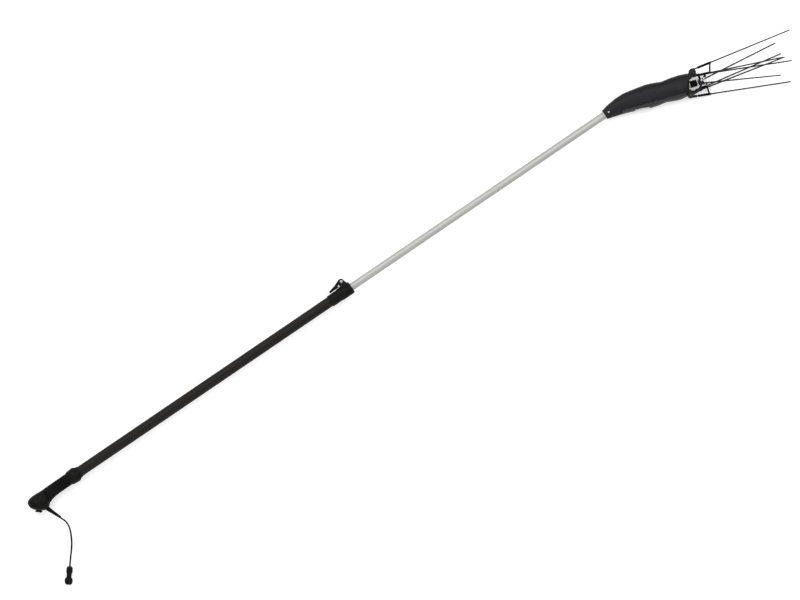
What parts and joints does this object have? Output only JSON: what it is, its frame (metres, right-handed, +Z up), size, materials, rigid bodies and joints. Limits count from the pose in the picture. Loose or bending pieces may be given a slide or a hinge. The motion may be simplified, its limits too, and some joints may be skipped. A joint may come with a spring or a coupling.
{
  "type": "electric olive harvester",
  "caption": "Battery powered telescopic olive harvester: a locking two-tube pole with a switch handle and a bent motor head whose two tine rakes clap against each other.",
  "frame": {"origin": "centre of the flat foot under the gearbox, on the crankshaft's axis, on the floor that the tool lies on", "axes": "+X along the pole from the handle to the head, +Z up from the floor, +Y to the side of the clamp lever"},
  "size_m": [3.005, 0.3371, 0.072],
  "materials": {
    "black_plastic": "satin black plastic",
    "grey_plastic": "dark grey plastic",
    "black_tube": "matt black coating",
    "rubber": "matt rubber",
    "aluminium": "satin anodised",
    "steel": "bright",
    "carbon": "carbon fibre rod",
    "nylon": "natural nylon",
    "board": "circuit board",
    "label": "bare label"
  },
  "bodies": {
    "handle_pole": {"pommel_front_shell": "black_plastic", "pommel_rear_shell": "black_plastic", "grip_sleeve": "rubber", "hand_stop": "black_plastic", "switch_bezel": "black_plastic", "strain_relief": "rubber", "power_cord": "rubber", "connector_body": "black_plastic", "connector_cap": "black_plastic", "lower_tube": "black_tube", "clamp_collar": "black_plastic", "clamp_pin": "steel", "clamp_screw": "steel", "guide_bush": "nylon", "coiled_lead": "rubber"},
    "clamp_lever": {"clamp_lever": "black_plastic"},
    "switch_rocker": {"switch_rocker": "black_plastic"},
    "head": {"upper_tube": "aluminium", "tail_bush": "nylon", "motor_lead": "rubber", "main_shell": "black_plastic", "side_cover": "grey_plastic", "socket_screw": "steel", "blank_label": "label", "motor_can": "steel", "motor_end_cap": "black_plastic", "motor_mount": "aluminium", "bearing_cup": "aluminium", "lower_bearing": "steel", "upper_bearing": "steel", "gearbox_nose": "black_plastic", "push_rod_bush": "nylon", "bellows": "rubber", "control_board": "board", "pivot_pin_upper": "black_plastic", "pivot_pin_lower": "black_plastic"},
    "rotor": {"motor_shaft": "steel", "bevel_pinion": "steel"},
    "crank": {"crankshaft": "steel", "bevel_gear": "steel"},
    "push_rod": {"push_rod": "steel", "wrist_pin": "steel", "crosshead": "black_plastic", "crosshead_pin_upper": "steel", "crosshead_pin_lower": "steel"},
    "connecting_rod": {"connecting_rod": "steel"},
    "link_upper": {"link_upper": "steel"},
    "link_lower": {"link_lower": "steel"},
    "rake_upper": {"rake_carrier_upper": "black_plastic", "rake_bridge_upper": "rubber", "tine_upper_outer": "carbon", "tine_upper_inner": "carbon", "tine_upper_cross": "carbon", "tine_upper_centre": "carbon"},
    "rake_lower": {"rake_carrier_lower": "black_plastic", "rake_bridge_lower": "rubber", "tine_lower_outer": "carbon", "tine_lower_inner": "carbon", "tine_lower_cross": "carbon", "tine_lower_centre": "carbon"}
  },
  "joints": [
    {"name": "telescope_slide", "type": "slide", "parent": "handle_pole", "child": "head", "axis": [1, 0, 0], "range_m": [-0.96, 0], "deforming": ["coiled_lead"]},
    {"name": "clamp_lever_pivot", "type": "hinge", "parent": "handle_pole", "child": "clamp_lever", "pos_m": [-1.27903, 0.09646, 0.036], "axis": [0, 0, 1], "range_deg": [-115, 0]},
    {"name": "switch_rocker_pivot", "type": "hinge", "parent": "handle_pole", "child": "switch_rocker", "pos_m": [-2.52853, 0.03296, 0.036], "axis": [0, 0, 1], "range_deg": [0, 12]},
    {"name": "crankshaft_spin", "type": "hinge", "parent": "head", "child": "crank", "pos_m": [0, 0, 0.036], "axis": [0, 0, 1], "continuous": true},
    {"name": "motor_spin", "type": "hinge", "parent": "head", "child": "rotor", "pos_m": [0, 0, 0.036], "axis": [0.9478, -0.319, 0], "continuous": true},
    {"name": "push_rod_slide", "type": "slide", "parent": "head", "child": "push_rod", "axis": [0.9478, -0.319, 0], "range_m": [-0.004, 0.004]},
    {"name": "connecting_rod_swing", "type": "hinge", "parent": "push_rod", "child": "connecting_rod", "pos_m": [0.01895, -0.00638, 0.036], "axis": [0, 0, 1], "range_deg": [0, 22.6]},
    {"name": "link_upper_swing", "type": "hinge", "parent": "push_rod", "child": "link_upper", "pos_m": [0.0771, -0.02173, 0.036], "axis": [0, 0, 1], "range_deg": [-12.5, 12.5]},
    {"name": "link_lower_swing", "type": "hinge", "parent": "push_rod", "child": "link_lower", "pos_m": [0.07107, -0.0293, 0.036], "axis": [0, 0, 1], "range_deg": [-16.2, 16.2]},
    {"name": "rake_upper_swing", "type": "hinge", "parent": "head", "child": "rake_upper", "pos_m": [0.06488, 0.01721, 0.036], "axis": [0, 0, 1], "range_deg": [-4.7, 4.7]},
    {"name": "rake_lower_swing", "type": "hinge", "parent": "head", "child": "rake_lower", "pos_m": [0.02002, -0.04398, 0.036], "axis": [0, 0, 1], "range_deg": [-4.7, 4.7]}
  ],
  "couplings": [
    {"joint": "motor_spin", "follows": "crankshaft_spin", "ratio": -3},
    {"joint": "rake_upper_swing", "follows": "push_rod_slide", "rad_per_m": 19.943},
    {"joint": "rake_lower_swing", "follows": "push_rod_slide", "rad_per_m": -19.938},
    {"joint": "link_upper_swing", "follows": "push_rod_slide", "rad_per_m": 54.131},
    {"joint": "link_lower_swing", "follows": "push_rod_slide", "rad_per_m": -70.302}
  ]
}
